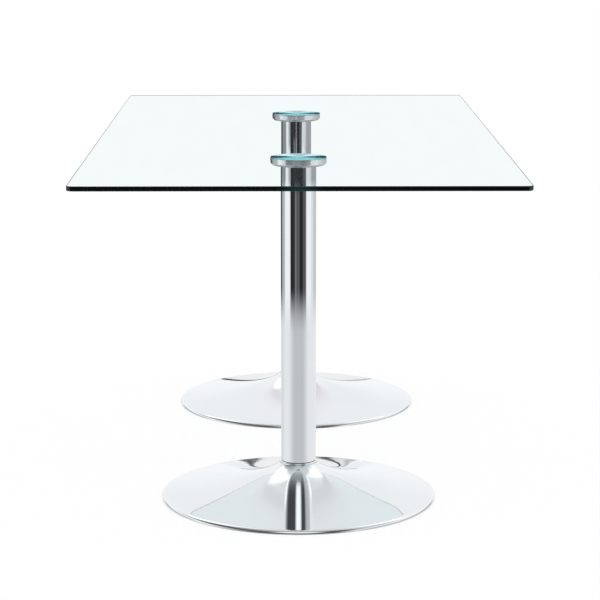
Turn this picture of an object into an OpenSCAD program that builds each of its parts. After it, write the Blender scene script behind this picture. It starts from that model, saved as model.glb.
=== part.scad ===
// Dining table: one fixed pane of clear glass on two trumpet pedestals.
// Millimetres. The origin is on the floor under the middle of the table,
// +X across its width, +Y along its length and +Z up.
// Each pedestal is clamped together by one long tie rod: it screws into the
// disc bonded under the glass and is drawn tight by a nut inside the base.

/* [Glass top] */
// Length of the glass
top_length = 1800; // [1500:10:2200]
// Width of the glass
top_width = 905; // [700:5:1000]
// Thickness of the glass
top_thickness = 10; // [8:1:15]
// Height from the floor to the upper face of the glass
table_height = 750; // [700:5:780]
// Radius of the glass corners in plan
corner_radius = 15; // [5:1:60]
// Polished arris along both edges of the glass
arris = 1; // [0.5:0.25:2]

/* [Mounting disc] */
// Distance between the two column axes
pedestal_spacing = 880; // [720:10:1100]
// Diameter of the disc where it meets the glass
disc_diameter = 121; // [100:1:150]
// Thickness of the disc
disc_thickness = 16; // [13:1:25]
// Radius that the side of the disc loses on its way down
disc_taper = 0.5; // [0.5:0.5:6]
// Chamfer round the lower edge of the disc
disc_chamfer = 4.5; // [1:0.5:5]
// Depth of the recess that takes the spigot of the upper plug
recess_depth = 3; // [2:0.5:4]
// Depth of the threaded hole, from the underside of the disc
thread_depth = 11; // [8:1:12]
// Thickness of the bond between disc and glass
bond_thickness = 0.5; // [0.2:0.1:1]
// Bare margin round the bond
bond_margin = 1; // [1:0.5:6]

/* [Column] */
// Outside diameter of the column tube
column_diameter = 76; // [64:1:90]
// Wall of the column tube
column_wall = 2; // [1.5:0.5:4]
// Height of the plugs pressed into the ends of the tube
plug_height = 20; // [10:1:40]
// Clearance round each plug
plug_clearance = 0.1; // [0.05:0.05:0.3]
// Diameter of the centring spigot on each plug
spigot_diameter = 30; // [20:1:40]
// Clearance round each spigot and beyond its end
spigot_clearance = 0.3; // [0.1:0.1:0.6]
// Thickness of the gasket under the column
gasket_thickness = 1; // [0.5:0.25:2]
// Distance that the gasket stays inside the column's edge
gasket_inset = 1; // [0.5:0.5:2]

/* [Trumpet base] */
// Diameter of the base
base_diameter = 600; // [480:10:700]
// Wall of the spun base
base_wall = 1.5; // [1:0.25:1.75]
// Outside radius of the rolled rim
rim_roll = 9; // [6:0.5:12]
// Gap between the rim and the floor
rim_gap = 0.5; // [0.5:0.5:2]
// Rise over run of the flare, far from the neck
flare_slope = 0.097; // [0.06:0.001:0.14]
// Strength of the curl that turns the flare up into the neck
flare_curl = 15.4; // [10:0.1:19]
// Distance from the neck in to the line that the curl climbs towards
curl_inset = 16; // [13:0.5:24]
// Distance that the neck stands out from the column
neck_step = 3; // [2:0.5:6]
// Radius between the flare and the neck
neck_fillet = 3; // [2:0.5:8]
// Radius of the lip on top of the neck
lip_radius = 3; // [2:0.25:4]

/* [Clamp] */
// Diameter of the tie rod
rod_diameter = 12; // [10:1:14]
// Radial play between the rod and the parts it passes through
rod_play = 0.5; // [0.3:0.1:1]
// Radial play in the thread of the nut and of the disc
thread_play = 0.1; // [0.05:0.05:0.2]
// Length of rod that stands out below the nut
rod_tail = 6; // [3:1:15]
// Chamfer on the ends of the rod
rod_chamfer = 1; // [0.5:0.5:2]
// Thickness of the plate under the neck
plate_thickness = 6; // [4:1:10]
// Distance that the plate stops short of the lip
plate_margin = 0.5; // [0.5:0.5:4]
// Diameter of the flat washer
washer_diameter = 37; // [30:1:44]
// Thickness of the flat washer
washer_thickness = 3; // [2:0.5:4]
// Diameter of the spring washer
spring_diameter = 21; // [20:1:26]
// Thickness of the spring washer
spring_thickness = 2.5; // [2:0.5:4]
// Width of the slit in the spring washer
spring_slit = 2; // [1:0.5:3]
// Size of the nut across its flats
nut_flats = 19; // [19:1:24]
// Height of the nut
nut_height = 10; // [8:1:14]

/* [Floor ring] */
// Width of the rubber ring under the rim
ring_width = 8; // [5:1:12]
// Distance from the start of the rolled rim in to the ring
ring_inset = 1; // [0.5:0.5:12]
// Glue gap between the ring and the base
ring_gap = 0.2; // [0.1:0.1:0.4]
// Chamfer on the foot of the ring
ring_chamfer = 1; // [0.5:0.5:2]

/* [Hidden] */
$fn = 128;
eps = 0.01;
front = -1;
rear = 1;

disc_radius = disc_diameter / 2;
column_radius = column_diameter / 2;
bore_radius = column_radius - column_wall;
spigot_radius = spigot_diameter / 2;
rod_radius = rod_diameter / 2;
thread_radius = rod_radius + thread_play;
passage_radius = rod_radius + rod_play;
socket_radius = spigot_radius + spigot_clearance;
neck_radius = column_radius + neck_step;
curl_radius = neck_radius - curl_inset;
plate_radius = neck_radius - lip_radius - plate_margin;

// The flare: its slope is that of a cone plus a curl that grows towards the neck.
function flare_tan(r) = flare_slope + flare_curl / (r - curl_radius);
function flare_angle(r) = atan(flare_tan(r));
roll_angle = flare_angle(base_diameter / 2 - rim_roll);
rim_radius = base_diameter / 2 - rim_roll * (1 - sin(roll_angle));
rim_height = rim_gap + rim_roll * cos(roll_angle);
function flare_height(r) = rim_height + flare_slope * (rim_radius - r)
    + flare_curl * ln((rim_radius - curl_radius) / (r - curl_radius));

// The fillet starts where the flare is about as steep as at the neck itself.
fillet_angle = flare_angle(neck_radius + neck_fillet / 3);
fillet_radius = neck_radius + neck_fillet * (1 - sin(fillet_angle));
neck_height = flare_height(fillet_radius) + neck_fillet * cos(fillet_angle);
flange_top = neck_height + lip_radius;
column_foot = flange_top + gasket_thickness;
disc_top = table_height - top_thickness - bond_thickness;
disc_foot = disc_top - disc_thickness;
plate_top = flange_top - base_wall;
washer_top = plate_top - plate_thickness;
spring_top = washer_top - washer_thickness;
nut_top = spring_top - spring_thickness;
rod_foot = nut_top - nut_height - rod_tail;
rod_top = disc_foot + thread_depth;

// Points of an arc about [x, z] that turns from angle a to angle b.
function arc(x, z, radius, a, b, steps) =
    [for (i = [0:steps]) let (t = a + (b - a) * i / steps)
        [x + radius * cos(t), z + radius * sin(t)]];

// One face of the spun wall, depth mm under the outside, from lip to rim.
flare_steps = 36;
function flare_radius(i) = fillet_radius + (rim_radius - fillet_radius) * pow(i / flare_steps, 2);
function flare_point(r, depth) = let (a = flare_angle(r))
    [r - depth * sin(a), flare_height(r) - depth * cos(a)];
function wall_face(depth) = concat(
    arc(neck_radius - lip_radius, neck_height, lip_radius - depth, 90, 0, 6),
    arc(neck_radius + neck_fillet, neck_height, neck_fillet + depth, 180, 270 - fillet_angle, 8),
    [for (i = [1:flare_steps - 1]) flare_point(flare_radius(i), depth)],
    arc(base_diameter / 2 - rim_roll, rim_gap, rim_roll - depth, 90 - roll_angle, 0, 12)
);
function reversed(points) = [for (i = [len(points) - 1:-1:0]) points[i]];

// A slab outline with both edges chamfered, for the glass and its corners.
module slab_section(left, right) {
    polygon([
        [left, arris], [left + arris, 0], [right - arris, 0], [right, arris],
        [right, top_thickness - arris], [right - arris, top_thickness],
        [left + arris, top_thickness], [left, top_thickness - arris]
    ]);
}

// A bar of the slab section, width wide and length long, centred on Z.
module slab_bar(width, length) {
    rotate([90, 0, 0]) linear_extrude(length, center = true) slab_section(-width / 2, width / 2);
}

module slab_corner() {
    rotate_extrude() polygon([
        [0, 0], [corner_radius - arris, 0], [corner_radius, arris],
        [corner_radius, top_thickness - arris], [corner_radius - arris, top_thickness], [0, top_thickness]
    ]);
}

module glass_top() {
    color([0.72, 0.86, 0.84, 0.5]) translate([0, 0, table_height - top_thickness]) union() {
        slab_bar(top_width, top_length - 2 * corner_radius);
        rotate([0, 0, 90]) slab_bar(top_length, top_width - 2 * corner_radius);
        for (x = [-1, 1], y = [-1, 1])
            translate([x * (top_width / 2 - corner_radius), y * (top_length / 2 - corner_radius), 0])
                slab_corner();
    }
}

module bond_film() {
    color("whitesmoke") translate([0, 0, disc_top])
        cylinder(h = bond_thickness, r = disc_radius - bond_margin);
}

// Turned disc: tapered side, chamfered foot, spigot recess and blind threaded hole.
module mounting_disc() {
    foot_radius = disc_radius - disc_taper;
    color("silver") rotate_extrude() polygon([
        [0, disc_top], [disc_radius, disc_top],
        [foot_radius, disc_foot + disc_chamfer], [foot_radius - disc_chamfer, disc_foot],
        [socket_radius, disc_foot], [socket_radius, disc_foot + recess_depth],
        [thread_radius, disc_foot + recess_depth], [thread_radius, rod_top], [0, rod_top]
    ]);
}

// A plug fills one end of the tube; its spigot centres the part beyond that end.
module plug(spigot_length) {
    color("gray") difference() {
        union() {
            translate([0, 0, -plug_height]) cylinder(h = plug_height, r = bore_radius - plug_clearance);
            cylinder(h = spigot_length, r = spigot_radius);
        }
        translate([0, 0, -plug_height - eps])
            cylinder(h = plug_height + spigot_length + 2 * eps, r = passage_radius);
    }
}

module upper_plug() {
    translate([0, 0, disc_foot]) plug(recess_depth - spigot_clearance);
}

module lower_plug() {
    translate([0, 0, column_foot]) mirror([0, 0, 1]) plug(gasket_thickness + base_wall - spigot_clearance);
}

module ring(top, bottom, outer, inner) {
    rotate_extrude() polygon([[inner, bottom], [outer, bottom], [outer, top], [inner, top]]);
}

module column() {
    color("lightsteelblue") ring(disc_foot, column_foot, column_radius, bore_radius);
}

module gasket() {
    color("dimgray") ring(column_foot, flange_top, column_radius - gasket_inset, socket_radius);
}

// Spun trumpet: flat flange, lip, neck fillet, curled flare and rolled rim in one wall.
module trumpet_base() {
    color("lightsteelblue") rotate_extrude() polygon(concat(
        [[socket_radius, plate_top], [socket_radius, flange_top]],
        wall_face(0), reversed(wall_face(base_wall))
    ));
}

module clamp_plate() {
    color("darkgray") ring(plate_top, washer_top, plate_radius, passage_radius);
}

module flat_washer() {
    color("silver") ring(washer_top, spring_top, washer_diameter / 2, passage_radius);
}

module spring_washer() {
    color("silver") difference() {
        ring(spring_top, nut_top, spring_diameter / 2, passage_radius);
        translate([0, -spring_slit / 2, nut_top - eps])
            cube([spring_diameter, spring_slit, spring_thickness + 2 * eps]);
    }
}

// Hexagon nut with its corners turned off at 30 degrees above and below.
module nut() {
    corner = nut_flats / 2 / cos(30);
    crown = (corner - nut_flats / 2) * tan(30);
    color("silver") translate([0, 0, nut_top - nut_height]) difference() {
        intersection() {
            cylinder(h = nut_height, r = corner, $fn = 6);
            rotate_extrude() polygon([
                [0, 0], [nut_flats / 2, 0], [corner + eps, crown],
                [corner + eps, nut_height - crown], [nut_flats / 2, nut_height], [0, nut_height]
            ]);
        }
        translate([0, 0, -eps]) cylinder(h = nut_height + 2 * eps, r = thread_radius);
    }
}

module tie_rod() {
    color("silver") rotate_extrude() polygon([
        [0, rod_foot], [rod_radius - rod_chamfer, rod_foot], [rod_radius, rod_foot + rod_chamfer],
        [rod_radius, rod_top - rod_chamfer], [rod_radius - rod_chamfer, rod_top], [0, rod_top]
    ]);
}

// Rubber ring glued under the flare: it alone meets the floor.
module floor_ring() {
    outer = rim_radius - ring_inset;
    inner = outer - ring_width;
    function seat(r) = flare_height(r) - base_wall / cos(flare_angle(r)) - ring_gap;
    color([0.12, 0.12, 0.12]) rotate_extrude() polygon([
        [inner + ring_chamfer, 0], [outer - ring_chamfer, 0], [outer, ring_chamfer],
        [outer, seat(outer)], [inner, seat(inner)], [inner, ring_chamfer]
    ]);
}

module at(side) {
    translate([0, side * pedestal_spacing / 2, 0]) children();
}

glass_top();
at(front) bond_film();  // front_bond_film
at(front) mounting_disc();  // front_mounting_disc
at(front) upper_plug();  // front_upper_plug
at(front) column();  // front_column
at(front) lower_plug();  // front_lower_plug
at(front) gasket();  // front_gasket
at(front) trumpet_base();  // front_trumpet_base
at(front) clamp_plate();  // front_clamp_plate
at(front) flat_washer();  // front_flat_washer
at(front) spring_washer();  // front_spring_washer
at(front) nut();  // front_nut
at(front) tie_rod();  // front_tie_rod
at(front) floor_ring();  // front_floor_ring
at(rear) bond_film();  // rear_bond_film
at(rear) mounting_disc();  // rear_mounting_disc
at(rear) upper_plug();  // rear_upper_plug
at(rear) column();  // rear_column
at(rear) lower_plug();  // rear_lower_plug
at(rear) gasket();  // rear_gasket
at(rear) trumpet_base();  // rear_trumpet_base
at(rear) clamp_plate();  // rear_clamp_plate
at(rear) flat_washer();  // rear_flat_washer
at(rear) spring_washer();  // rear_spring_washer
at(rear) nut();  // rear_nut
at(rear) tie_rod();  // rear_tie_rod
at(rear) floor_ring();  // rear_floor_ring
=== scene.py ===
"""A dining table, dressed for a studio picture: one pane of clear glass on two polished trumpet pedestals.

Every length in this file is in metres and every angle in degrees, unless a name says otherwise. The frame is the
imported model's: the origin is on the floor under the middle of the table, +X across it, +Y along it, +Z up.
"""

from __future__ import annotations

import logging
import math
from dataclasses import dataclass
from enum import Enum
from typing import Any, Callable, Sequence

import bpy
import numpy as np
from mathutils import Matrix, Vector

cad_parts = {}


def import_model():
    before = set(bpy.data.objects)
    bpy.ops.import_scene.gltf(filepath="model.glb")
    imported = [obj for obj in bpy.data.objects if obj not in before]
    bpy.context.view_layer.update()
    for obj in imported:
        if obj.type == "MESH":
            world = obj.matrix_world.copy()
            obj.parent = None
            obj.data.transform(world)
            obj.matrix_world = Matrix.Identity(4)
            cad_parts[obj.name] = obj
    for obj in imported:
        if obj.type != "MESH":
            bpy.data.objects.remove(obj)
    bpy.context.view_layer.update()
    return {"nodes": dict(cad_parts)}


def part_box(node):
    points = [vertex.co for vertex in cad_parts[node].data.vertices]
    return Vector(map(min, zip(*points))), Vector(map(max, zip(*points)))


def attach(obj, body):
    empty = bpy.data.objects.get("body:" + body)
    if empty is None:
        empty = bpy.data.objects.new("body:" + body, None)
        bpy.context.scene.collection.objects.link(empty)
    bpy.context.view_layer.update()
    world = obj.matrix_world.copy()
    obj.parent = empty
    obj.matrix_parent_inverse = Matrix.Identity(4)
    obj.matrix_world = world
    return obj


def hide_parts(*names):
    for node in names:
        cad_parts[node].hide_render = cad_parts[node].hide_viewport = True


log = logging.getLogger("table")

Array, Object = np.ndarray, bpy.types.Object
Pair = tuple[float, float]
Point = Colour = tuple[float, float, float]
Faces = list[list[int]]
Node, Socket, Material = bpy.types.Node, bpy.types.NodeSocket, bpy.types.Material
Inputs = dict[Any, Any] | Sequence[Any]
Stops = tuple[float, float, float, float]
MM = 0.001
BODY = "root"
ZINC, ZINC_STAIN = (0.66, 0.68, 0.71), (0.52, 0.52, 0.50)
# The red and blue of the studio's light, whose green is 1.
RED, BLUE = 0.985, 1.012
# Stops beyond every direction, for a panel that doesn't end on that side.
OPEN_LEFT, OPEN_RIGHT = (-999.0, -998.0), (998.0, 999.0)
# The azimuths behind the table, on either side.
LEFT_BEHIND, RIGHT_BEHIND = (*OPEN_LEFT, -172.0, -158.0), (158.0, 172.0, *OPEN_RIGHT)


class Side(Enum):
    """Which of the two pedestals, with the sign of its place along the table."""

    FRONT = -1
    REAR = 1

    @property
    def label(self) -> str:
        """The first word of that pedestal's names."""
        return self.name.lower()


# Shader maths


def operator(operation: str, swapped: bool = False) -> Callable[[Value, Value | float], Value]:
    """Makes an operator of the class Value, which adds one Math node.

    Args:
        operation: the Math node's operation.
        swapped: whether the other number is the node's first input.

    Returns:
        The operator's method.
    """

    def method(value: Value, other: Value | float) -> Value:
        """Adds the node."""
        pair = [other, value] if swapped else [value, other]
        return value.graph.value("Math", pair, operation=operation)

    return method


@dataclass(frozen=True)
class Value:
    """A number that varies over a surface: a socket whose operators add Math nodes.

    Args:
        graph: the node graph that the socket is in.
        socket: the output socket that carries the number.
    """

    graph: Graph
    socket: Socket

    def maths(self, operation: str, *others: Value | float) -> Value:
        """Adds one Math node.

        Args:
            operation: the Math node's operation.
            others: its second and third inputs, as far as the operation has them.

        Returns:
            The node's result.
        """
        return self.graph.value("Math", [self, *others], operation=operation)

    __add__, __radd__ = operator("ADD"), operator("ADD", swapped=True)
    __sub__, __rsub__ = operator("SUBTRACT"), operator("SUBTRACT", swapped=True)
    __mul__, __rmul__ = operator("MULTIPLY"), operator("MULTIPLY", swapped=True)
    __truediv__, __pow__ = operator("DIVIDE"), operator("POWER")

    def __neg__(self) -> Value:
        """This value with its sign changed."""
        return self.maths("MULTIPLY", -1.0)

    def ramp(self, low: float, high: float) -> Value:
        """A smooth step.

        Args:
            low: where the result leaves 0.
            high: where the result reaches 1. It may lie below low, and the step then falls.

        Returns:
            0 before low, 1 after high, and an S-shaped curve between them.
        """
        falls = low > high
        ends = [self, min(low, high), max(low, high), float(falls), float(not falls)]
        return self.graph.value("MapRange", ends, interpolation_type="SMOOTHSTEP")

    def band(self, stops: Sequence[float]) -> Value:
        """0 outside the first and last of four stops, 1 between the middle two, and smooth between."""
        return self.ramp(stops[0], stops[1]) * self.ramp(stops[3], stops[2])


class Graph:
    """The nodes of one material or world."""

    def __init__(self, owner: Material | bpy.types.World) -> None:
        """Empties the owner's node tree.

        Args:
            owner: the material or world whose nodes this graph makes.
        """
        owner.use_nodes = True
        self.tree = owner.node_tree
        self.tree.nodes.clear()

    def node(self, kind: str, inputs: Inputs = (), **settings: Any) -> Node:
        """Makes one node.

        Args:
            kind: the node's type, without the prefix that all shader nodes share.
            inputs: values or links by socket name or number, or a list of them in order.
            settings: its properties, which are set first.

        Returns:
            The node.
        """
        node = self.tree.nodes.new(f"ShaderNode{kind}")
        for key, setting in settings.items():
            setattr(node, key, setting)
        pairs = inputs.items() if isinstance(inputs, dict) else enumerate(inputs)
        for key, given in pairs:
            if isinstance(given, Value):
                given = given.socket
            if isinstance(given, Socket):
                self.tree.links.new(given, node.inputs[key])
            else:
                node.inputs[key].default_value = given
        return node

    def value(self, kind: str, inputs: Inputs = (), output: str | int = 0, **settings: Any) -> Value:
        """Makes one node and returns one of its outputs as a value that can be reckoned with."""
        return Value(self, self.node(kind, inputs, **settings).outputs[output])

    def place(self, centre: Sequence[float] = (0.0, 0.0, 0.0)) -> Socket:
        """Object coordinates, counted from a centre.

        Args:
            centre: the point that becomes the origin.

        Returns:
            The vector socket.
        """
        raw = self.node("TexCoord").outputs["Object"]
        shift = {"Vector": raw, "Location": tuple(-c for c in centre)}
        return self.node("Mapping", shift, vector_type="POINT").outputs["Vector"]

    def parts(self, vector: Socket) -> tuple[Value, Value, Value]:
        """The three components of a vector."""
        node = self.node("SeparateXYZ", [vector])
        return tuple(Value(self, out) for out in node.outputs)

    def vector(self, x: Value | float, y: Value | float, z: Value | float) -> Socket:
        """A vector made of three values."""
        return self.node("CombineXYZ", [x, y, z]).outputs[0]

    def vector_maths(self, operation: str, *inputs: Any) -> Socket:
        """The result of one Vector Math node."""
        return self.node("VectorMath", inputs, operation=operation).outputs[0]

    def noise(self, vector: Socket, scale: float, detail: float = 2.0) -> Value:
        """Smooth noise between about 0.25 and 0.75 over a vector."""
        given = {"Vector": vector, "Scale": scale, "Detail": detail}
        return self.value("TexNoise", given, "Fac", noise_dimensions="3D")

    def mix_colour(self, share: Value | float, first: Any, second: Any) -> Socket:
        """A blend of two colours, each a colour or a socket.

        Args:
            share: how much of the second colour shows.
            first: the colour at 0.
            second: the colour at 1.

        Returns:
            The colour socket.
        """
        rgba = [c if isinstance(c, Socket) else (*c, 1.0) for c in (first, second)]
        node = self.node("Mix", {0: share, 6: rgba[0], 7: rgba[1]}, data_type="RGBA")
        return node.outputs[2]

    def blend(self, share: Value | float, first: Node, second: Node) -> Node:
        """A blend of two shaders, the first at a share of 0 and the second at 1."""
        return self.node("MixShader", [share, first.outputs[0], second.outputs[0]])

    def plain(self, kind: str, colour: Colour, **others: Any) -> Node:
        """A simple shader with a fixed colour and any other inputs by name."""
        return self.node(kind, {"Color": (*colour, 1.0), **others})

    def bump(self, height: Value, strength: float, distance: float) -> Socket:
        """The normal of a face with small heights on it."""
        given = {"Strength": strength, "Distance": distance, "Height": height}
        return self.node("Bump", given).outputs[0]

    def principled(self, colour: Any, roughness: Value | float, others: dict[str, Any]) -> Node:
        """A Principled shader with a colour, a roughness and any other inputs by name."""
        given = {"Base Color": colour, "Roughness": roughness, **others}
        return self.node("BsdfPrincipled", given)

    def finish(self, shader: Node) -> None:
        """Links a shader to the material's output."""
        self.node("OutputMaterial", {"Surface": shader.outputs[0]})


# Finishes


@dataclass(frozen=True)
class Finish:
    """A finish that can be put on a piece.

    Args:
        name: the material's name.
    """

    name: str

    def material(self) -> Material:
        """Makes the material and its nodes.

        Returns:
            The new material.
        """
        material = bpy.data.materials.new(self.name)
        graph = Graph(material)
        graph.finish(self.shade(graph))
        return material

    def shade(self, graph: Graph) -> Node:
        """Makes the nodes of the finish and returns its last shader."""
        raise NotImplementedError


@dataclass(frozen=True)
class Chrome(Finish):
    """Mirror plating over polished steel, with the faint lines that polishing leaves and a breath of haze.

    Args:
        centre: a point on the axis that the piece was turned or drawn about.
        tint: the colour of the mirror.
        haze: the greatest roughness that the haze adds.
        line: spacing of the polishing lines.
        rings: True for rings round the axis, as spinning leaves them, False for lines along it.
    """

    centre: Pair = (0.0, 0.0)
    tint: Colour = (0.86, 0.88, 0.90)
    haze: float = 0.03
    line: float = 0.0012
    rings: bool = True

    def shade(self, graph: Graph) -> Node:
        """Builds the plating.

        Args:
            graph: the material's graph.

        Returns:
            The last shader.
        """
        place = graph.place((*self.centre, 0.0))
        x, y, z = graph.parts(place)
        radius = (x * x + y * y) ** 0.5
        cloud = graph.noise(place, 9.0, 3.0)
        across = radius if self.rings else y.maths("ARCTAN2", x) * 0.038
        along = z * 4.0 if self.rings else z * 1.5
        lines = graph.noise(graph.vector(across / self.line, along, 0.0), 1.0, 3.0)
        worn = cloud.ramp(0.45, 0.75)
        roughness = 0.018 + worn * self.haze * 0.6 + lines.ramp(0.55, 0.8) * self.haze * 0.4
        colour = graph.mix_colour(worn * 0.6, self.tint, tuple(c * 0.965 for c in self.tint))
        normal = graph.bump(lines, 0.012, 0.0004)
        return graph.principled(colour, roughness, {"Metallic": 1.0, "Normal": normal})


@dataclass(frozen=True)
class TurnedSteel(Finish):
    """Steel straight from the lathe: fine tool marks run round the axis and spread its reflections across them.

    Args:
        centre: a point on the lathe axis.
        tint: the colour of the metal.
        body: the colour of what the marks scatter.
        scatter: how much of the look is scattered light, from 0 to 1.
        tilt: the slope of a tool mark's flanks.
        inward: the share of the marks' width whose flank faces the axis, or looks down on a side.
        jitter: the greatest slope by which one flank differs from the next.
        under: how much of the colour is left on faces that look down, as painted shade.
        feed: the width of one tool mark.
        roughness: the roughness, as it would be without the marks.
        spread: how much further the marks spread a reflection across them than along them, from 0 to 1.
    """

    centre: Pair = (0.0, 0.0)
    tint: Colour = (0.62, 0.63, 0.64)
    body: Colour = (0.30, 0.31, 0.32)
    scatter: float = 0.15
    tilt: float = 0.06
    inward: float = 0.5
    jitter: float = 0.06
    under: float = 0.45
    feed: float = 0.0002
    roughness: float = 0.22
    spread: float = 0.9

    def shade(self, graph: Graph) -> Node:
        """Builds the turned face and side, with painted shade on faces that look down.

        The normal of each flank is tilted across the marks: to or from the axis on a flat face and up or down on a
        side. Its slope is plus or minus the marks' tilt, more or less a random part.

        Args:
            graph: the material's graph.

        Returns:
            The last shader.
        """
        place = graph.place((*self.centre, 0.0))
        x, y, z = graph.parts(place)
        radius = (x * x + y * y) ** 0.5
        normal = graph.node("NewGeometry").outputs["Normal"]
        rise = graph.parts(normal)[2]
        upward = rise.maths("ABSOLUTE")
        mark = ((radius + z * 0.7) / self.feed).maths("FLOOR")
        chance, other = (
            graph.value("TexWhiteNoise", {"W": seed}, "Value", noise_dimensions="1D")
            for seed in (mark, mark + 0.5)
        )
        flank = chance.maths("GREATER_THAN", self.inward) * 2.0 - 1.0
        slope = flank * self.tilt + (other - 0.5) * (2.0 * self.jitter)
        flat = upward.ramp(0.5, 0.8)
        outward = slope * flat / (radius + 0.0001)
        lean = graph.vector(x * outward, y * outward, slope * (1.0 - flat))
        tilted = graph.vector_maths("NORMALIZE", graph.vector_maths("ADD", normal, lean))
        wear = graph.noise(place, 140.0, 3.0)
        clean = graph.mix_colour(wear.ramp(0.35, 0.7), self.tint, tuple(c * 0.88 for c in self.tint))
        # Painted shade: faces that look down fade towards a darker copy of the tint, the more so the further they
        # look down.
        colour = graph.mix_colour(rise.ramp(-0.15, -0.6), clean, tuple(c * self.under for c in self.tint))
        marks = {"Metallic": 1.0, "Normal": tilted, "Anisotropic": self.spread, "Anisotropic Rotation": 0.25}
        metal = graph.principled(colour, self.roughness + wear * 0.08, marks)
        matt = graph.principled((*self.body, 1.0), 0.6, {})
        return graph.blend(self.scatter, metal, matt)


@dataclass(frozen=True)
class ClearGlass(Finish):
    """Clear float glass: it bends what is behind it, tints it a little and mirrors a little.

    Args:
        tint: the colour left after one face.
        mirror: the share of light that a face mirrors.
        steep: the colour of a total reflection near its limit angle, which ends up inside the pane.
        flat: the colour of light that meets a face from inside at a flat angle and leaves the pane further on.
        index: the refractive index.
    """

    tint: Colour = (0.955, 0.978, 0.980)
    mirror: float = 0.010
    steep: Colour = (0.0, 0.10, 0.16)
    flat: Colour = (0.24, 0.74, 0.78)
    index: float = 1.5

    def shade(self, graph: Graph) -> Node:
        """Builds the glass, with a trace of green that comes and goes as the melt's draw lines do.

        Args:
            graph: the material's graph.

        Returns:
            The last shader.
        """
        x, y, _ = graph.parts(graph.place())
        drawn = graph.noise(graph.vector(x * 6.0, y * 0.8, 0.0), 3.0)
        pale, deeper = (
            graph.plain("BsdfRefraction", tuple(c * share for c in self.tint), Roughness=0.0, IOR=self.index)
            for share in (1.0, 0.995)
        )
        outer, inner = (
            graph.plain("BsdfGlossy", colour, Roughness=0.0)
            for colour in ((1.0, 1.0, 1.0), self.steep)
        )
        leaving = graph.plain("BsdfTransparent", self.flat)
        from_inside = graph.value("NewGeometry", output="Backfacing")
        total = graph.value("Fresnel", {"IOR": self.index}).ramp(0.8, 0.99)
        facing = graph.value("LayerWeight", {"Blend": 0.5}, "Facing")
        clear = graph.blend(drawn.ramp(0.4, 0.7), pale, deeper)
        trapped = graph.blend(facing.ramp(0.44, 0.66), inner, leaving)
        gloss = graph.blend(from_inside, outer, trapped)
        return graph.blend(self.mirror + total * (1.0 - self.mirror), clear, gloss)


@dataclass(frozen=True)
class GlassEdge(Finish):
    """The polished edge of a thick pane: almost black green, with fine grinding marks and a wet gloss.

    Args:
        deep: the colour far from the discs.
        glow: the colour opposite a bonded disc, a painted glow for the light that the disc feeds into the pane.
        spread: how far the painted glow reaches to each side.
    """

    deep: Colour = (0.0006, 0.0022, 0.0020)
    glow: Colour = (0.006, 0.026, 0.022)
    spread: float = 0.05

    def shade(self, graph: Graph) -> Node:
        """Builds the edge.

        Args:
            graph: the material's graph.

        Returns:
            The last shader.
        """
        place = graph.place()
        x, y, z = graph.parts(place)
        # Painted light: the edge is painted a brighter green opposite each bonded disc, for the light that the disc
        # feeds into the pane.
        near = x.maths("ABSOLUTE").ramp(self.spread, 0.0)
        marks = graph.noise(graph.vector(x * 900.0, y * 900.0, z * 40.0), 1.0)
        shade = graph.mix_colour(near, self.deep, self.glow)
        colour = graph.mix_colour(marks.ramp(0.4, 0.8) * 0.3, shade, tuple(2.0 * c for c in self.deep))
        normal = graph.bump(marks, 0.012, 0.00002)
        return graph.principled(colour, 0.05 + marks * 0.05, {"IOR": 1.5, "Normal": normal})


@dataclass(frozen=True)
class Machined(Finish):
    """Plain machined or plated steel for the clamp parts, with stains of oil and small tool marks.

    Args:
        tint: the colour of the metal.
        stain: the colour where oil or passivation dulls it.
        roughness: the roughness of the clean metal.
        grain: how many tool marks there are to the metre.
    """

    tint: Colour = (0.50, 0.51, 0.53)
    stain: Colour = (0.36, 0.35, 0.34)
    roughness: float = 0.28
    grain: float = 900.0

    def shade(self, graph: Graph) -> Node:
        """Builds the machined metal.

        Args:
            graph: the material's graph.

        Returns:
            The last shader.
        """
        place = graph.place()
        x, y, z = graph.parts(place)
        cloud = graph.noise(place, 70.0, 4.0)
        marks = graph.noise(graph.vector(x * 30.0, y * 30.0, z * self.grain), 1.0)
        colour = graph.mix_colour(cloud.ramp(0.42, 0.68), self.tint, self.stain)
        normal = graph.bump(marks, 0.2, 0.0001)
        return graph.principled(colour, self.roughness + cloud * 0.25, {"Metallic": 1.0, "Normal": normal})


@dataclass(frozen=True)
class Rubber(Finish):
    """Moulded black rubber with a fine bloom.

    Args:
        tint: the colour of the rubber.
        bloom: the colour of the bloom on it.
    """

    tint: Colour = (0.012, 0.012, 0.013)
    bloom: Colour = (0.030, 0.030, 0.032)

    def shade(self, graph: Graph) -> Node:
        """Builds the rubber.

        Args:
            graph: the material's graph.

        Returns:
            The last shader.
        """
        place = graph.place()
        grain = graph.noise(place, 1800.0, 3.0)
        cloud = graph.noise(place, 60.0, 2.0)
        colour = graph.mix_colour(cloud.ramp(0.4, 0.75), self.tint, self.bloom)
        return graph.principled(colour, 0.62 + grain * 0.2, {"Normal": graph.bump(grain, 0.35, 0.0002)})


# Mesh code


def placed(name: str, data: bpy.types.ID) -> Object:
    """Puts a new object into the scene.

    Args:
        name: its name.
        data: its mesh or camera.

    Returns:
        The object.
    """
    thing = bpy.data.objects.new(name, data)
    bpy.context.scene.collection.objects.link(thing)
    return thing


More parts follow.
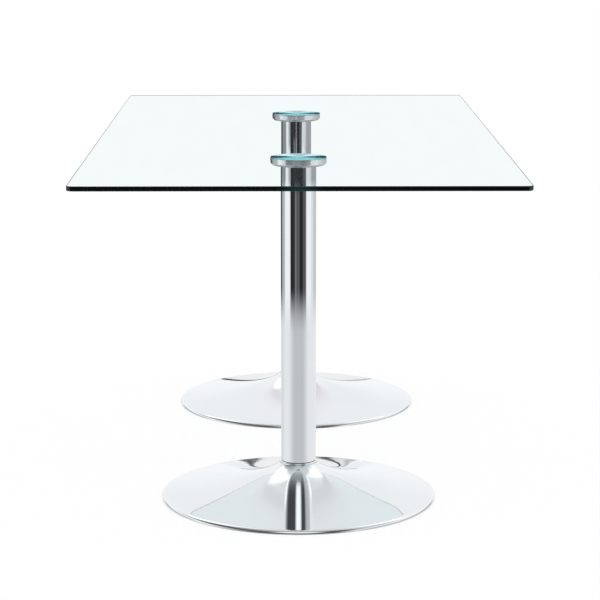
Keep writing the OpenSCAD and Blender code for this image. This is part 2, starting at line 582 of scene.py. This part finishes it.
def turned(profile: Array, sectors: int, centre: Sequence[float]) -> tuple[Array, Faces]:
    """Turns a closed outline about a vertical axis.

    Point (r, z) of the outline at angle t goes to (x + r cos t, y + r sin t, z), over a grid of outline points and
    equal angles. Points on the axis become one vertex each, with triangles round it.

    Args:
        profile: the outline as rows of (r, z), anticlockwise seen with r to the right and z up.
        sectors: the number of equal angles.
        centre: x and y of the axis.

    Returns:
        The vertices and the faces, which point outwards.
    """
    count = len(profile)
    angle = np.linspace(0.0, 2.0 * math.pi, sectors, endpoint=False)
    r, z = profile[:, 0][:, None], profile[:, 1][:, None]
    grid = np.stack([centre[0] + r * np.cos(angle), centre[1] + r * np.sin(angle), z + 0.0 * angle], axis=-1)
    index = np.arange(count * sectors).reshape(count, sectors)
    pole = profile[:, 0] < 1e-9
    index[pole] = index[pole][:, :1]
    after, beside = np.roll(index, -1, axis=0), np.roll(index, -1, axis=1)
    corner = np.roll(after, -1, axis=1)
    quads = np.stack([index, beside, corner, after], axis=-1)
    next_pole = np.roll(pole, -1)
    whole = quads[~pole & ~next_pole].reshape(-1, 4)
    upper = quads[~pole & next_pole].reshape(-1, 4)[:, [0, 1, 2]]
    lower = quads[pole & ~next_pole].reshape(-1, 4)[:, [0, 2, 3]]
    used, whole_flat = np.unique(np.concatenate([f.ravel() for f in (whole, upper, lower)]), return_inverse=True)
    split = np.split(whole_flat, [whole.size, whole.size + upper.size])
    faces = [part.reshape(-1, width).tolist() for part, width in zip(split, (4, 3, 3)) if part.size]
    return grid.reshape(-1, 3)[used], [face for part in faces for face in part]


def walled(rings: int, points: int) -> tuple[Faces, Faces]:
    """The faces of a closed stack of vertex rings.

    Args:
        rings: how many rings there are, counted upwards.
        points: how many vertices each ring has.

    Returns:
        The faces of the wall, and those of the lower and the upper end.
    """
    index = np.arange(rings * points).reshape(rings, points)
    beside = np.roll(index, -1, axis=1)
    wall = np.stack([index[:-1], beside[:-1], beside[1:], index[1:]], axis=-1).reshape(-1, 4)
    return wall.tolist(), [index[0, ::-1].tolist(), index[-1].tolist()]


def arc(centre: Sequence[float], radius: float, start: float, stop: float, steps: int) -> Array:
    """Points of a circular arc.

    Args:
        centre: r and z of its centre.
        radius: its radius.
        start: the angle of its first point, from the r axis.
        stop: the angle of its last point.
        steps: how many chords it has.

    Returns:
        Rows of (r, z).
    """
    angle = np.radians(np.linspace(start, stop, steps + 1))
    return np.stack([centre[0] + radius * np.cos(angle), centre[1] + radius * np.sin(angle)], axis=-1)


def eased(outline: Sequence[Sequence[float]], radii: Sequence[float], steps: int = 4) -> Array:
    """Rounds the corners of a closed outline.

    Each corner is replaced by a quadratic curve between the points that lie one radius before and after it, with
    the corner itself as its middle control point. A radius of 0 keeps the corner.

    Args:
        outline: rows of (r, z).
        radii: one radius for each row.
        steps: chords for each rounded corner.

    Returns:
        The rounded outline.
    """
    rows = np.asarray(outline, float)
    result: list[Array] = []
    t = np.linspace(0.0, 1.0, steps + 1)[:, None]
    for before, corner, after, radius in zip(np.roll(rows, 1, 0), rows, np.roll(rows, -1, 0), radii):
        if radius <= 0.0:
            result.append(corner[None])
            continue
        start = corner + (before - corner) / np.linalg.norm(before - corner) * radius
        stop = corner + (after - corner) / np.linalg.norm(after - corner) * radius
        result.append((1 - t) ** 2 * start + 2 * t * (1 - t) * corner + t**2 * stop)
    return np.concatenate(result)


def braced(outline: Array, reach: float = 0.0003) -> Array:
    """Adds a point close to each end of every long chord, so that shading bends only at the corners.

    Args:
        outline: closed rows of (r, z).
        reach: how far from the chord's end the added point lies; chords under four times that stay as they are.

    Returns:
        The rows with the added points.
    """
    after = np.roll(outline, -1, axis=0)
    length = np.linalg.norm(after - outline, axis=1, keepdims=True)
    share = reach / np.maximum(length, 1e-9)
    rows = np.stack([outline, outline + (after - outline) * share, after - (after - outline) * share], axis=1)
    keep = np.repeat(length > 4 * reach, 3, axis=1)
    keep[:, 0] = True
    return rows[keep]


@dataclass
class Piece:
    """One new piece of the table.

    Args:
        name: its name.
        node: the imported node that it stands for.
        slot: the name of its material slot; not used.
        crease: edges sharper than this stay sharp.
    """

    name: str
    node: str
    slot: str
    crease: float = 28.0

    def build(
        self, vertices: Array, faces: Faces, materials: Sequence[Material],
        which: Array | None = None, flat: int = 0,
    ) -> Object:
        """Makes the mesh, smooths it between its creases and ties it to the frame.

        Args:
            vertices: rows of (x, y, z) in the table's frame.
            faces: the vertices of each face.
            materials: the piece's materials.
            which: the material of each face, by number.
            flat: how many of the first faces stay flat.

        Returns:
            The new object.
        """
        mesh = bpy.data.meshes.new(self.name)
        mesh.from_pydata(vertices, [], faces)
        for material in materials:
            mesh.materials.append(material)
        if which is not None:
            mesh.polygons.foreach_set("material_index", which)
        mesh.set_sharp_from_angle(angle=math.radians(self.crease))
        mesh.polygons.foreach_set("use_smooth", np.arange(len(mesh.polygons)) >= flat)
        mesh.update()
        piece = placed(self.name, mesh)
        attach(piece, BODY)
        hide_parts(self.node)
        log.info("piece %s: %d faces, stands for %s", self.name, len(mesh.polygons), self.node)
        return piece


# The table


@dataclass
class GlassTop:
    """The pane: two flat faces and a polished edge.

    Args:
        corner: radius of the corners in plan.
        arris: size of the rounded arris along both edges.
        steps: chords in each corner.
        glass: the finish of the two faces.
        edge: the finish of the edge.
    """

    corner: float = 0.015
    arris: float = 0.0011
    steps: int = 24
    glass: Finish = ClearGlass("clear_float_glass")
    edge: Finish = GlassEdge("polished_glass_edge")

    def outline(self, inset: Array, half: Pair) -> Array:
        """The pane's outline in plan, moved inwards.

        A corner point at angle t is the corner's centre plus (corner radius less inset) times (cos t, sin t).

        Args:
            inset: how far each ring lies inside the edge.
            half: half the pane's width and length.

        Returns:
            An array of rings by points by (x, y).
        """
        angle = np.linspace(0.0, math.pi / 2, self.steps + 1)
        angles = np.concatenate([angle + quarter * math.pi / 2 for quarter in range(4)])
        sign_x, sign_y = (np.repeat(s, self.steps + 1) for s in ([1, -1, -1, 1], [1, 1, -1, -1]))
        middle = np.stack([sign_x * (half[0] - self.corner), sign_y * (half[1] - self.corner)], axis=-1)
        turn = np.stack([np.cos(angles), np.sin(angles)], axis=-1)
        return middle[None] + (self.corner - inset)[:, None, None] * turn[None]

    def build(self) -> None:
        """Builds and dresses the pane."""
        low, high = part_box("glass_top")
        bend = np.radians(np.linspace(-90.0, 0.0, 5))
        inset = self.arris * (1.0 - np.cos(bend))
        rise = self.arris * (1.0 + np.sin(bend))
        insets = np.concatenate([inset, inset[::-1]])
        heights = np.concatenate([low.z + rise, high.z - rise[::-1]])
        plan = self.outline(insets, (high.x, high.y))
        rings, points = plan.shape[:2]
        tall = np.repeat(heights[:, None], points, axis=1)
        vertices = np.concatenate([plan, tall[..., None]], axis=-1).reshape(-1, 3)
        wall, ends = walled(rings, points)
        which = np.array([0, 0] + [1] * len(wall), np.int32)
        materials = [self.glass.material(), self.edge.material()]
        Piece("glass_pane", "glass_top", "clear_glass").build(vertices, ends + wall, materials, which, flat=2)


@dataclass(frozen=True)
class TrumpetShape:
    """The outline of the spun base, in millimetres.

    The slope of the flare at radius r is that of a cone plus a curl, cone + curl / (r - centre), so its height is
    the rim's height plus cone (rim - r) plus curl times the logarithm of (rim - centre) / (r - centre).

    Args:
        radius: outside radius of the base.
        neck: radius of the neck.
        wall: thickness of the spun sheet.
        roll: outside radius of the rolled rim.
        gap: height of the rim's edge over the floor.
        cone: slope of the flare far from the neck.
        curl: strength of the curl.
        centre: radius of the line that the curl climbs towards.
        fillet: radius between the flare and the neck.
        lip: radius of the lip on top of the neck.
        socket: radius of the hole in the flange.
        flare_steps: chords along the outside of the flare.
        roll_steps: chords round the rim.
        bend_steps: chords in the fillet and in the lip.
    """

    radius: float = 300.0
    neck: float = 41.0
    wall: float = 1.5
    roll: float = 9.0
    gap: float = 0.5
    cone: float = 0.097
    curl: float = 15.4
    centre: float = 25.0
    fillet: float = 3.0
    lip: float = 3.0
    socket: float = 15.3
    flare_steps: int = 150
    roll_steps: int = 20
    bend_steps: int = 10

    def slope(self, r: Array | float) -> Array:
        """The angle of the flare at radius r, in degrees."""
        return np.degrees(np.arctan(self.cone + self.curl / (np.asarray(r) - self.centre)))

    @property
    def rim(self) -> Pair:
        """Radius and height of the circle where the flare meets the rolled rim."""
        angle = math.radians(float(self.slope(self.radius - self.roll)))
        return self.radius - self.roll * (1 - math.sin(angle)), self.gap + self.roll * math.cos(angle)

    def height(self, r: Array | float) -> Array:
        """The height of the flare.

        Args:
            r: the radius.

        Returns:
            The height in millimetres.
        """
        radius, height = self.rim
        reach = np.log((radius - self.centre) / (np.asarray(r) - self.centre))
        return height + self.cone * (radius - np.asarray(r)) + self.curl * reach

    def face(self, depth: float, steps: int) -> Array:
        """One face of the sheet, from the rim up to the lip.

        Args:
            depth: how far it lies under the outside.
            steps: points along the flare.

        Returns:
            Rows of (r, z).
        """
        turn = float(self.slope(self.neck + self.fillet / 3))
        start = self.neck + self.fillet * (1 - math.sin(math.radians(turn)))
        neck_top = float(self.height(start)) + self.fillet * math.cos(math.radians(turn))
        rim_angle = 90.0 - float(self.slope(self.radius - self.roll))
        roll = arc((self.radius - self.roll, self.gap), self.roll - depth, 0.0, rim_angle, self.roll_steps)
        r = start + (self.rim[0] - start) * np.linspace(1.0, 0.0, steps + 1)[1:-1] ** 2
        angle = np.radians(self.slope(r))
        flare = np.stack([r - depth * np.sin(angle), self.height(r) - depth * np.cos(angle)], axis=-1)
        bends = self.bend_steps
        fillet = arc((self.neck + self.fillet, neck_top), self.fillet + depth, 270.0 - turn, 180.0, bends)
        lip = arc((self.neck - self.lip, neck_top), self.lip - depth, 0.0, 90.0, bends)
        return np.concatenate([roll, flare, fillet, lip])

    def outline(self) -> tuple[Array, int]:
        """The closed outline of the sheet, anticlockwise, with half as many chords inside the flare.

        Returns:
            Rows of (r, z) in metres, and how many of them lie on the outside.
        """
        outside, inside = self.face(0.0, self.flare_steps), self.face(self.wall, self.flare_steps // 2)
        flange = np.array([[self.socket, outside[-1, 1]], [self.socket, inside[-1, 1]]])
        return np.concatenate([outside, flange, inside[::-1]]) * MM, len(outside) + 1


@dataclass
class Pedestal:
    """One pedestal: disc, tube, base and the clamp that draws them together.

    Args:
        side: which of the two it is.
        sectors: how finely round pieces are divided.
        disc_taper: radius that the disc's side loses on its way down.
        disc_chamfer: chamfer round the disc's lower edge.
        socket: radius of the recess under the disc.
        socket_depth: depth of that recess.
        thread: radius of the threaded hole in the disc.
        thread_depth: its depth from the underside.
        bond_bead: how far the bond is squeezed out at the glass.
        tube_wall: wall of the tube.
        pitch: pitch of the tie rod's thread.
        cut: depth of that thread.
        lower: length of thread at the rod's foot.
        upper: length of thread at its top.
        chamfer: chamfer on the rod's ends.
        shape: the outline of the base.
    """

    side: Side
    sectors: int = 256
    disc_taper: float = 0.0005
    disc_chamfer: float = 0.0045
    socket: float = 0.0153
    socket_depth: float = 0.003
    thread: float = 0.0061
    thread_depth: float = 0.011
    bond_bead: float = 0.0007
    tube_wall: float = 0.002
    pitch: float = 0.00175
    cut: float = 0.0009
    lower: float = 0.045
    upper: float = 0.012
    chamfer: float = 0.001
    shape: TrumpetShape = TrumpetShape()

    def node(self, part: str) -> str:
        """The name of one of this pedestal's parts, with the pedestal's own in front."""
        return f"{self.side.label}_{part}"

    @property
    def centre(self) -> Pair:
        """x and y of the pedestal's axis."""
        low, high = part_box(self.node("column"))
        return (low.x + high.x) / 2, (low.y + high.y) / 2

    def turn(
        self, part: str, slot: str, outline: Array, finishes: Sequence[Finish], outer: int | None = None
    ) -> None:
        """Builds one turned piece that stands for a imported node.

        Args:
            part: the node's name without the pedestal's.
            slot: its material slot.
            outline: its closed outline as rows of (r, z).
            finishes: its finish, or its outside's and its inside's.
            outer: how many outline points carry the first finish; all if None.
        """
        vertices, faces = turned(outline if outer else braced(outline), self.sectors, self.centre)
        which = None
        if outer is not None:
            which = np.zeros(len(faces), np.int32)
            which[outer * self.sectors :] = 1
        materials = [finish.material() for finish in finishes]
        Piece(self.node(f"{part}_turned"), self.node(part), slot).build(vertices, faces, materials, which)

    def build_disc(self) -> None:
        """The mounting disc: flat face, tapered side, chamfer, recess and blind threaded hole."""
        low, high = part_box(self.node("mounting_disc"))
        radius = high.x - self.centre[0]
        foot = radius - self.disc_taper
        hole_top = low.z + self.thread_depth
        outline = [
            (0.0, hole_top), (self.thread, hole_top), (self.thread, low.z + self.socket_depth),
            (self.socket, low.z + self.socket_depth), (self.socket, low.z),
            (foot - self.disc_chamfer, low.z), (foot, low.z + self.disc_chamfer),
            (radius, high.z), (0.0, high.z),
        ]
        radii = [0.0, 0.0, 0.0, 0.0, 0.0003, 0.0006, 0.0008, 0.0004, 0.0]
        # The low under value paints dark shade on the disc's chamfer and underside, which look down.
        finish = TurnedSteel(
            self.node("disc_steel"), centre=self.centre, tint=(0.97, 0.98, 0.99), body=(0.62, 0.63, 0.64),
            scatter=0.08, tilt=0.02, jitter=0.03, under=0.36, roughness=0.16,
        )
        self.turn("mounting_disc", "turned_steel", eased(outline, radii), [finish])

    def build_bond(self) -> None:
        """The bond, which wets both the disc and the glass, so the turned face under it shows through the pane.

        What was squeezed out makes a small fillet round its edge, wider at the glass. The face's teal and cyan are
        painted light.
        """
        low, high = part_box(self.node("bond_film"))
        radius = high.x - self.centre[0]
        wet = 0.00004
        outline = [
            (0.0, low.z + wet), (radius, low.z + wet), (radius + self.bond_bead, high.z + wet), (0.0, high.z + wet),
        ]
        # Painted light: the cyan tint and the teal body stand for light trapped and tinted green inside the pane,
        # not for the bond's own colour.
        finish = TurnedSteel(
            self.node("bonded_face"), centre=self.centre, tint=(0.88, 1.0, 1.0), body=(0.0, 0.50, 0.72),
            scatter=0.14, tilt=0.32, inward=0.8, jitter=0.06, feed=0.0001, roughness=0.05, spread=0.0,
        )
        self.turn("bond_film", "clear_bond", np.array(outline), [finish])

    def build_tube(self) -> None:
        """The column: a drawn tube, mirror-polished, with eased ends."""
        low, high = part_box(self.node("column"))
        radius = high.x - self.centre[0]
        bore = radius - self.tube_wall
        outline = eased(
            [(bore, low.z), (radius, low.z), (radius, high.z), (bore, high.z)], [0.0, 0.0004, 0.0004, 0.0]
        )
        finish = Chrome(self.node("tube_chrome"), centre=self.centre, rings=False)
        self.turn("column", "chrome_tube", outline, [finish])

    def build_gasket(self) -> None:
        """The gasket: a thin rubber ring whose edge is squeezed out a little."""
        low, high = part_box(self.node("gasket"))
        radius = high.x - self.centre[0]
        middle, half = (low.z + high.z) / 2, (high.z - low.z) / 2
        bulge = arc((radius - half * 0.4, middle), half, -90.0, 90.0, 8) - np.array([half * 0.6, 0.0])
        outline = np.concatenate([bulge, [[self.socket, high.z], [self.socket, low.z]]])
        self.turn("gasket", "black_rubber", outline, [Rubber(self.node("gasket_rubber"))])

    def build_base(self) -> None:
        """The trumpet base: a spun shell, mirror-polished outside and satin inside."""
        outline, outer = self.shape.outline()
        outside = Chrome(self.node("base_chrome"), centre=self.centre, haze=0.02)
        # The inside of the shell looks down, so the finish's under value paints shade on it.
        inside = TurnedSteel(self.node("base_inside"), centre=self.centre, tilt=0.04, jitter=0.04, feed=0.0008)
        self.turn("trumpet_base", "chrome_base", outline, [outside, inside], outer)

    def build_rod(self) -> None:
        """The tie rod: a plain shank with a rolled thread at both ends.

        The radius at angle t and height z is the rod's radius less the thread's depth times a triangle wave of
        z / pitch - t / 2 pi, faded out beyond the threaded length.
        """
        low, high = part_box(self.node("tie_rod"))
        radius, step = high.x - self.centre[0], self.pitch / 10
        lower = np.arange(low.z, low.z + self.lower, step)
        upper = np.arange(high.z - self.upper, high.z, step)
        z = np.concatenate([lower, np.linspace(lower[-1], upper[0], 12)[1:-1], upper, [high.z]])
        angle = np.linspace(0.0, 2.0 * math.pi, 36, endpoint=False)
        phase = z[:, None] / self.pitch - angle[None] / (2.0 * math.pi)
        wave = np.abs(2.0 * (phase - np.floor(phase)) - 1.0)
        inside = np.stack([low.z + self.lower - z, z - high.z + self.upper])
        fade = np.clip(inside / self.pitch, 0.0, 1.0).sum(axis=0)
        end = np.minimum(np.minimum(z - low.z, high.z - z), self.chamfer)
        r = np.minimum(radius - self.cut * wave * fade[:, None], (radius - self.chamfer + end)[:, None])
        x, y = self.centre
        grid = np.stack([x + r * np.cos(angle), y + r * np.sin(angle), z[:, None] + 0.0 * r], axis=-1)
        wall, ends = walled(*grid.shape[:2])
        finish = Machined(self.node("rod_zinc"), tint=ZINC, stain=ZINC_STAIN, grain=300.0)
        piece = Piece(self.node("tie_rod_threaded"), self.node("tie_rod"), "zinc_rod", 50.0)
        piece.build(grid.reshape(-1, 3), wall + ends, [finish.material()])

    def build(self) -> None:
        """Builds every new piece of the pedestal."""
        self.build_disc()
        self.build_bond()
        self.build_tube()
        self.build_gasket()
        self.build_base()
        self.build_rod()


@dataclass
class KeptNodes:
    """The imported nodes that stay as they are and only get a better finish.

    Args:
        plain: the finish of plugs and plates.
        zinc: the finish of washers and nuts.
        rubber: the finish of the floor rings.
    """

    plain: Finish = Machined("mild_steel")
    zinc: Finish = Machined("zinc_plate", tint=ZINC, stain=ZINC_STAIN, roughness=0.24)
    rubber: Finish = Rubber("floor_ring_rubber")

    def dress(self, nodes: dict[str, Object]) -> None:
        """Puts the finishes on.

        Args:
            nodes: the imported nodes' objects by name.
        """
        parts = {
            "upper_plug": self.plain, "lower_plug": self.plain, "clamp_plate": self.plain,
            "flat_washer": self.zinc, "spring_washer": self.zinc, "nut": self.zinc, "floor_ring": self.rubber,
        }
        made = {finish.name: finish.material() for finish in parts.values()}
        for name, thing in nodes.items():
            finish = parts.get(name.split("_", 1)[1])
            if finish is None:
                continue
            for slot in thing.material_slots:
                slot.material = made[finish.name]
            log.info("node %s: finish %s", name, finish.name)


# The studio


@dataclass(frozen=True)
class Panel:
    """A soft patch of light or shade that the polished metal mirrors.

    Args:
        level: its brightness.
        azimuth: four stops, between which it fades in, is full and fades out, counted from the front of the table
            and positive to the right.
        elevation: four such stops over the horizon, or over the distance for a strip on the near floor. A patch
            of the far floor has none.
    """

    level: float
    azimuth: Stops
    elevation: Stops | None = None

    def over(self, below: Value | float, azimuth: Value, elevation: Value | None = None) -> Value:
        """Lays the panel over what lies behind it.

        Args:
            below: the brightness behind the panel.
            azimuth: the direction's azimuth.
            elevation: the direction's elevation, or the distance on the near floor, or None on the far floor.

        Returns:
            The new brightness.
        """
        mask = azimuth.band(self.azimuth)
        if elevation is not None:
            mask = mask * elevation.band(self.elevation)
        return below * (1.0 - mask) + mask * self.level


@dataclass
class Studio:
    """A white studio: pale floor, light walls and ceiling, with a dark cloth hung in front of the table.

    Args:
        near: the brightness of the floor close to the table, in front and at the sides.
        sheet: the distances at which the near floor starts to end and has ended.
        reach: those at which the far floor's last part starts and has started.
        room: the brightness of the room's walls and ceiling.
        side: the brightness of the far floor at the sides.
        strips: darker strips on the floor by the table.
        panels: what stands and hangs round the table.
        streaks: what lies on the far floor.
        beyond: what lies over that on its last part.
        centre: the front pedestal's foot, which the floor's azimuths and distances are counted from.
        white: how bright the floor is for the camera.
        eye: where the camera stands.
        aim: its rotation.
        lens: its focal length in millimetres.
    """

    near: Pair = (0.60, 0.90)
    sheet: Pair = (1.75, 2.55)
    reach: Pair = (4.70, 5.15)
    room: float = 1.0
    side: float = 1.0
    strips: tuple[Panel, ...] = (
        Panel(0.02, (165.5, 168, 174.5, 176.5), (0.52, 0.54, 0.57, 0.585)),
        Panel(0.78, (-166, -152, -130, -95), (0.10, 0.15, 2.6, 3)),
    )
    panels: tuple[Panel, ...] = (
        Panel(0.74, (*OPEN_LEFT, *OPEN_RIGHT), (60, 70, 98, 99)),
        Panel(0.60, (30, 40, 88, 112), (24, 34, 40, 95)),
        Panel(0.07, (-150, -85, 44, 70), (20, 34, 40, 95)),
        Panel(0.12, (-95, -30, 28, 52), (-60, -40, 26, 36)),
        Panel(0.36, (45, 60, 140, 155), (-60, -50, 6, 16)),
        Panel(0.42, (-155, -140, -105, -85), (-60, -50, 6, 16)),
        Panel(1.25, (-32, -9, 8, 30), (29, 34, 46, 62)),
        Panel(0.955, LEFT_BEHIND, (6, 22, 60, 75)),
        Panel(0.87, LEFT_BEHIND, (32, 38.5, 60, 75)),
        Panel(0.955, RIGHT_BEHIND, (6, 22, 60, 75)),
        Panel(0.86, RIGHT_BEHIND, (31, 38, 60, 75)),
        Panel(0.80, (150, 158, 175, 184), (36, 39.5, 42, 45)),
        Panel(0.81, (-184, -176, -164, -158), (36, 38.5, 40.5, 43)),
        Panel(1.35, (-170, -163, -128, -116), (36, 41, 56, 66)),
        Panel(1.35, (112, 128, 155, 161), (39, 44, 58, 67)),
    )
    streaks: tuple[Panel, ...] = (
        Panel(0.80, (80, 100, *OPEN_RIGHT)),
        Panel(0.50, (*OPEN_LEFT, -104, -96)),
        Panel(0.05, (*OPEN_LEFT, -141, -127)),
        Panel(0.62, (108, 122, *OPEN_RIGHT)),
        Panel(0.02, (-60, -50, 44, 57)),
        Panel(0.03, (-44, -38, -22, -20)),
        Panel(0.20, (-26, -21, -16, -11)),
        Panel(0.11, (-16, -12, 2, 12)),
        Panel(0.10, (24, 32, 43, 50)),
    )
    beyond: tuple[Panel, ...] = (
        Panel(0.80, (50, 57, 75, 95)),
        Panel(0.40, (72, 100, *OPEN_RIGHT)),
        Panel(0.30, (-138, -127, -100, -84)),
        Panel(0.45, (-80, -60, -56, -52)),
        Panel(0.03, (-38, -32, 16, 26)),
    )
    centre: Point = (0.0, -0.44, 0.0)
    white: float = 1.03
    eye: Point = (-0.0305, -5.033, 1.3298)
    aim: Point = (90.0 - 10.997, 0.0, -0.421)
    lens: float = 129.7

    @staticmethod
    def azimuth(x: Value, y: Value) -> Value:
        """The angle of a direction from the front of the table, positive to the right."""
        return x.maths("ARCTAN2", -y) * math.degrees(1.0)

    @staticmethod
    def seen_directly(graph: Graph) -> Value:
        """Tells whether the camera sees something itself, through glass or not.

        Args:
            graph: the graph that asks.

        Returns:
            1 if so, and 0 for a ray that has met a mirror or a matt face.
        """
        path = graph.node("LightPath")
        glossy, diffuse = (Value(graph, path.outputs[name]) for name in ("Glossy Depth", "Diffuse Depth"))
        return 1.0 - (glossy + diffuse).maths("MINIMUM", 1.0)

    @staticmethod
    def scattered(graph: Graph) -> Value:
        """1 for a ray that has met a matt face."""
        return graph.value("LightPath", output="Diffuse Depth").maths("MINIMUM", 1.0)

    def build_world(self) -> None:
        """The room: what the mirrors see, plain white for the camera and plain light for matt faces.

        The light is a little blue, but less so high up behind the table.
        """
        world = bpy.data.worlds.new("studio")
        bpy.context.scene.world = world
        world.cycles.sampling_method = "NONE"
        graph = Graph(world)
        x, y, z = graph.parts(graph.node("TexCoord").outputs["Generated"])
        azimuth = self.azimuth(x, y)
        elevation = z.maths("ARCSINE") * math.degrees(1.0)
        level: Value | float = self.room
        for panel in self.panels:
            level = panel.over(level, azimuth, elevation)
        plain = self.seen_directly(graph).maths("MAXIMUM", self.scattered(graph))
        shown = level * (1.0 - plain) + plain
        warm = azimuth.maths("ABSOLUTE").ramp(110.0, 140.0) * elevation.ramp(31.0, 37.0) * 0.035
        cool = graph.vector(shown * (warm + RED), shown, shown * BLUE)
        colour = graph.mix_colour(plain, cool, (1.0, 1.0, 1.0))
        light = graph.node("Background", {"Color": colour, "Strength": 1.0})
        graph.node("OutputWorld", {"Surface": light.outputs[0]})

    def build_floor(self) -> None:
        """The floor: white for the camera apart from the table's shadow, and a lit sheet for the mirrors."""
        half = 60.0
        mesh = bpy.data.meshes.new("studio_floor")
        corners = [(-half, -half, 0.0), (half, -half, 0.0), (half, half, 0.0), (-half, half, 0.0)]
        mesh.from_pydata(corners, [], [(0, 1, 2, 3)])
        floor = placed("studio_floor", mesh)
        material = bpy.data.materials.new("studio_floor")
        graph = Graph(material)
        x, y, _ = graph.parts(graph.place(self.centre))
        azimuth = self.azimuth(x, y)
        distance = (x * x + y * y) ** 0.5
        front, side = self.near
        near: Value | float = front + azimuth.maths("ABSOLUTE").ramp(22.0, 72.0) * (side - front)
        for strip in self.strips:
            near = strip.over(near, azimuth, distance)
        far: Value | float = self.side
        for streak in self.streaks:
            far = streak.over(far, azimuth)
        out: Value | float = far
        for streak in self.beyond:
            out = streak.over(out, azimuth)
        edge = distance.ramp(*self.reach)
        far = far * (1.0 - edge) + out * edge
        away = distance.ramp(*self.sheet)
        level = near * (1.0 - away) + far * away
        tinted = graph.vector(level * RED, level, level * BLUE)
        mirrored = graph.node("Emission", {"Color": tinted})
        matt = graph.plain("BsdfDiffuse", (0.92, 0.92, 0.92))
        white = graph.plain("Emission", (1.0, 1.0, 1.0), Strength=self.white)
        lit = graph.blend(0.8, matt, white)
        plain = graph.blend(self.scattered(graph), mirrored, matt)
        graph.finish(graph.blend(self.seen_directly(graph), plain, lit))
        mesh.materials.append(material)

    def build_camera(self) -> None:
        """The camera: a long lens in front of one short end, a little above the table."""
        data = bpy.data.cameras.new("camera")
        data.sensor_width, data.lens, data.clip_end = 36.0, self.lens, 200.0
        camera = placed("camera", data)
        camera.location = self.eye
        camera.rotation_euler = tuple(math.radians(a) for a in self.aim)
        bpy.context.scene.camera = camera

    def build(self) -> None:
        """Builds the camera, the room and the floor."""
        self.build_camera()
        self.build_world()
        self.build_floor()
        bpy.context.scene.view_settings.view_transform = "Standard"
        log.info("studio: camera, room and floor")


def main() -> None:
    """Loads the frame and builds the studio and the table round it."""
    logging.basicConfig(level=logging.INFO, format="%(name)s: %(message)s")
    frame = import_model()
    Studio().build()
    GlassTop().build()
    for side in Side:
        Pedestal(side).build()
    KeptNodes().dress(frame["nodes"])


if __name__ == "__main__":
    main()
